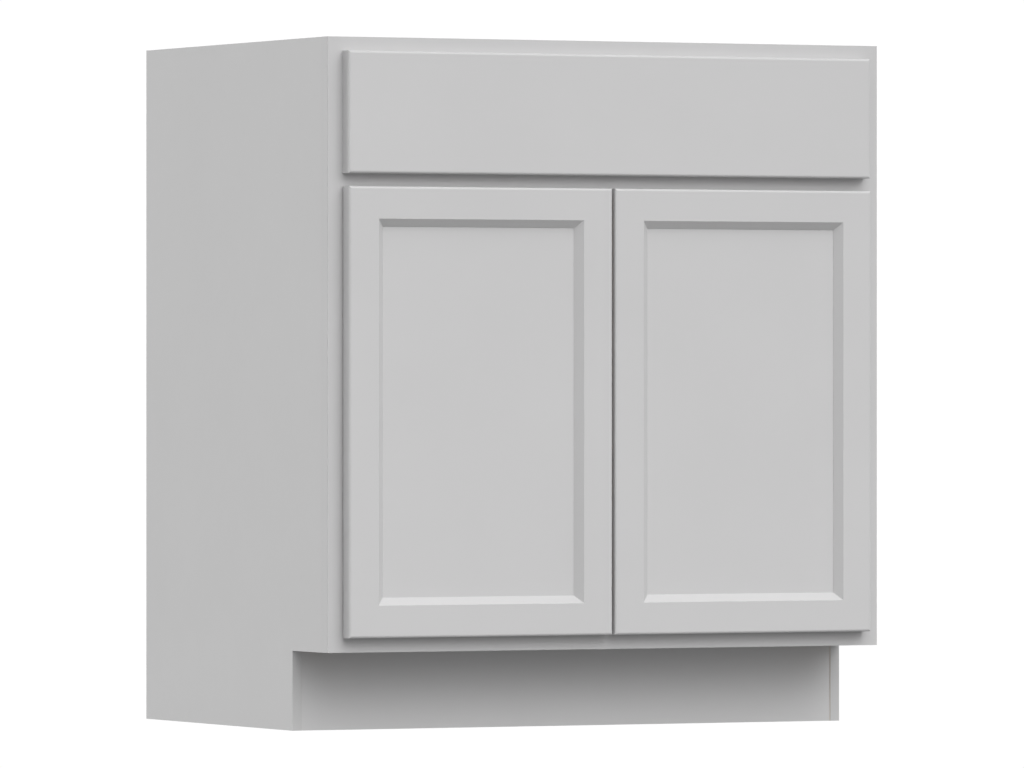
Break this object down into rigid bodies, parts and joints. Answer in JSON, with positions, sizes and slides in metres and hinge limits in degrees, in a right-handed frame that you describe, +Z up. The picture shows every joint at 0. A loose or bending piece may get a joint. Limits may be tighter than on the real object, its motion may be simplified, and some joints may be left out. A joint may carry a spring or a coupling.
{
  "type": "vanity base cabinet",
  "caption": "Painted sink base cabinet with a face frame, a fixed false drawer front, bevelled doors on concealed cup hinges, a recessed toe kick and an open top.",
  "frame": {"origin": "on the floor, in the middle of the cabinet's width and of its overall depth with the doors", "axes": "+X to the right seen from the front, +Y towards the wall, +Z up"},
  "size_m": [0.762, 0.5672, 0.8509],
  "materials": {
    "front_paint": "satin light gray paint",
    "frame_paint": "satin light gray paint",
    "side_paint": "satin light gray laminate",
    "toe_paint": "satin light gray paint",
    "plywood": "clear-coated maple plywood",
    "hinge_steel": "nickel plated",
    "pin_steel": "bright steel",
    "screw_steel": "zinc plated",
    "bumper": "clear soft dots"
  },
  "bodies": {
    "cabinet": {"left_side_panel": "side_paint", "right_side_panel": "side_paint", "floor_panel": "plywood", "back_panel": "plywood", "upper_nailing_rail": "plywood", "lower_nailing_rail": "plywood", "toe_board": "toe_paint", "front_left_brace": "plywood", "front_right_brace": "plywood", "back_left_brace": "plywood", "back_right_brace": "plywood", "left_stile": "frame_paint", "right_stile": "frame_paint", "top_rail": "frame_paint", "middle_rail": "frame_paint", "bottom_rail": "frame_paint", "false_drawer_front": "front_paint", "left_cleat": "plywood", "right_cleat": "plywood", "front_screws": "screw_steel", "arm_screws": "screw_steel", "left_upper_arm": "hinge_steel", "left_lower_arm": "hinge_steel", "left_arm_pins": "pin_steel", "right_upper_arm": "hinge_steel", "right_lower_arm": "hinge_steel", "right_arm_pins": "pin_steel"},
    "left_long_links": {"left_upper_long_link": "hinge_steel", "left_lower_long_link": "hinge_steel"},
    "left_door": {"left_door_hinge_stile": "front_paint", "left_door_lock_stile": "front_paint", "left_door_top_rail": "front_paint", "left_door_bottom_rail": "front_paint", "left_door_panel": "front_paint", "left_door_bumpers": "bumper", "left_upper_cup": "hinge_steel", "left_lower_cup": "hinge_steel", "left_cup_pins": "pin_steel", "left_cup_screws": "screw_steel"},
    "left_short_links": {"left_upper_short_link": "hinge_steel", "left_lower_short_link": "hinge_steel"},
    "right_long_links": {"right_upper_long_link": "hinge_steel", "right_lower_long_link": "hinge_steel"},
    "right_door": {"right_door_hinge_stile": "front_paint", "right_door_lock_stile": "front_paint", "right_door_top_rail": "front_paint", "right_door_bottom_rail": "front_paint", "right_door_panel": "front_paint", "right_door_bumpers": "bumper", "right_upper_cup": "hinge_steel", "right_lower_cup": "hinge_steel", "right_cup_pins": "pin_steel", "right_cup_screws": "screw_steel"},
    "right_short_links": {"right_upper_short_link": "hinge_steel", "right_lower_short_link": "hinge_steel"}
  },
  "joints": [
    {"name": "left_long_links_turn", "type": "hinge", "parent": "cabinet", "child": "left_long_links", "pos_m": [-0.316, -0.25993, 0.39225], "axis": [0, 0, 1], "range_deg": [0, 33.33]},
    {"name": "left_door_swing", "type": "hinge", "parent": "left_long_links", "child": "left_door", "pos_m": [-0.3504, -0.26613, 0.39225], "axis": [0, 0, -1], "range_deg": [0, 133.33]},
    {"name": "left_short_links_turn", "type": "hinge", "parent": "cabinet", "child": "left_short_links", "pos_m": [-0.3358, -0.27113, 0.39225], "axis": [0, 0, 1], "range_deg": [0, 58]},
    {"name": "right_long_links_turn", "type": "hinge", "parent": "cabinet", "child": "right_long_links", "pos_m": [0.316, -0.25993, 0.39225], "axis": [0, 0, -1], "range_deg": [0, 33.33]},
    {"name": "right_door_swing", "type": "hinge", "parent": "right_long_links", "child": "right_door", "pos_m": [0.3504, -0.26613, 0.39225], "axis": [0, 0, 1], "range_deg": [0, 133.33]},
    {"name": "right_short_links_turn", "type": "hinge", "parent": "cabinet", "child": "right_short_links", "pos_m": [0.3358, -0.27113, 0.39225], "axis": [0, 0, -1], "range_deg": [0, 58]}
  ],
  "couplings": [
    {"joint": "left_long_links_turn", "follows": "left_door_swing", "ratio": 0.25},
    {"joint": "left_short_links_turn", "follows": "left_door_swing", "ratio": 0.435},
    {"joint": "right_long_links_turn", "follows": "right_door_swing", "ratio": 0.25},
    {"joint": "right_short_links_turn", "follows": "right_door_swing", "ratio": 0.435}
  ]
}
